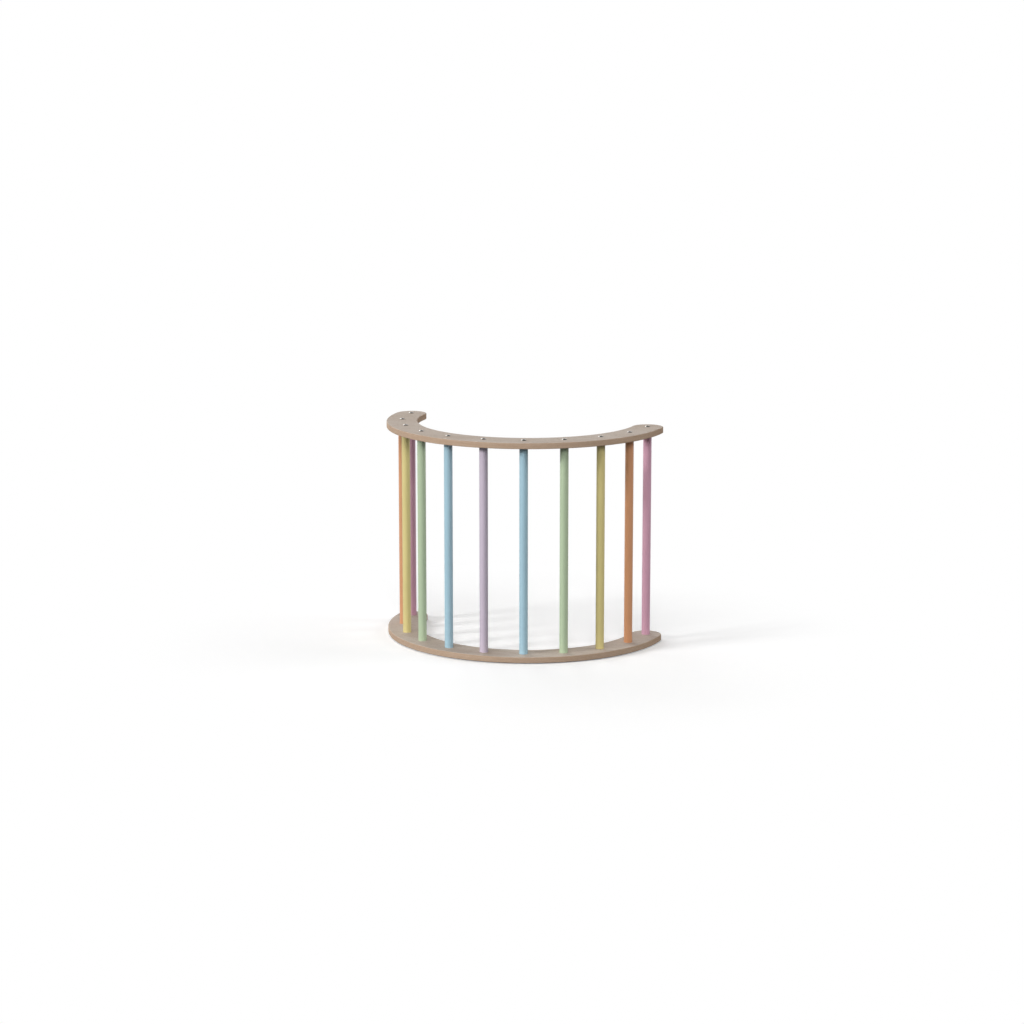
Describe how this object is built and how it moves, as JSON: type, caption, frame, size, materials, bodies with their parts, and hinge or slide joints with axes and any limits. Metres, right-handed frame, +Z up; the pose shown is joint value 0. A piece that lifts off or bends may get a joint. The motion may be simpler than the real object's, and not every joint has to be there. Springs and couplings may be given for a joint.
{
  "type": "toddler climbing arch",
  "caption": "Toddler climbing arch: half-ring plywood side boards with round ends, joined by round pastel-painted wooden rungs, stood on its side.",
  "frame": {"origin": "on the ground, under the middle of the object's bounding box, as it stands on its lower side board", "axes": "+Z up, from the lower side board to the upper one, along the rungs; +X across the span from leg to leg; +Y the way the legs point and the arch opens"},
  "size_m": [0.85, 0.4715, 0.6556],
  "materials": {
    "plywood": "birch plywood, matt clear oil, grey-brown, rounded edges with the plies showing",
    "paint_pink": "pink satin water-based paint on a beech dowel",
    "paint_orange": "orange satin water-based paint on a beech dowel",
    "paint_yellow": "yellow satin water-based paint on a beech dowel",
    "paint_green": "green satin water-based paint on a beech dowel",
    "paint_blue": "blue satin water-based paint on a beech dowel",
    "paint_lilac": "lilac satin water-based paint on a beech dowel",
    "bolt_steel": "zinc-plated steel, dark hexagon socket",
    "insert_zinc": "zinc-plated steel"
  },
  "bodies": {
    "root": {"lower_side_board": "plywood", "upper_side_board": "plywood", "rung_01_pink": "paint_pink", "rung_02_orange": "paint_orange", "rung_03_yellow": "paint_yellow", "rung_04_green": "paint_green", "rung_05_blue": "paint_blue", "rung_06_lilac": "paint_lilac", "rung_07_blue": "paint_blue", "rung_08_green": "paint_green", "rung_09_yellow": "paint_yellow", "rung_10_orange": "paint_orange", "rung_11_pink": "paint_pink", "lower_bolt_01": "bolt_steel", "lower_bolt_02": "bolt_steel", "lower_bolt_03": "bolt_steel", "lower_bolt_04": "bolt_steel", "lower_bolt_05": "bolt_steel", "lower_bolt_06": "bolt_steel", "lower_bolt_07": "bolt_steel", "lower_bolt_08": "bolt_steel", "lower_bolt_09": "bolt_steel", "lower_bolt_10": "bolt_steel", "lower_bolt_11": "bolt_steel", "upper_bolt_01": "bolt_steel", "upper_bolt_02": "bolt_steel", "upper_bolt_03": "bolt_steel", "upper_bolt_04": "bolt_steel", "upper_bolt_05": "bolt_steel", "upper_bolt_06": "bolt_steel", "upper_bolt_07": "bolt_steel", "upper_bolt_08": "bolt_steel", "upper_bolt_09": "bolt_steel", "upper_bolt_10": "bolt_steel", "upper_bolt_11": "bolt_steel", "lower_insert_01": "insert_zinc", "lower_insert_02": "insert_zinc", "lower_insert_03": "insert_zinc", "lower_insert_04": "insert_zinc", "lower_insert_05": "insert_zinc", "lower_insert_06": "insert_zinc", "lower_insert_07": "insert_zinc", "lower_insert_08": "insert_zinc", "lower_insert_09": "insert_zinc", "lower_insert_10": "insert_zinc", "lower_insert_11": "insert_zinc", "upper_insert_01": "insert_zinc", "upper_insert_02": "insert_zinc", "upper_insert_03": "insert_zinc", "upper_insert_04": "insert_zinc", "upper_insert_05": "insert_zinc", "upper_insert_06": "insert_zinc", "upper_insert_07": "insert_zinc", "upper_insert_08": "insert_zinc", "upper_insert_09": "insert_zinc", "upper_insert_10": "insert_zinc", "upper_insert_11": "insert_zinc"}
  },
  "joints": []
}
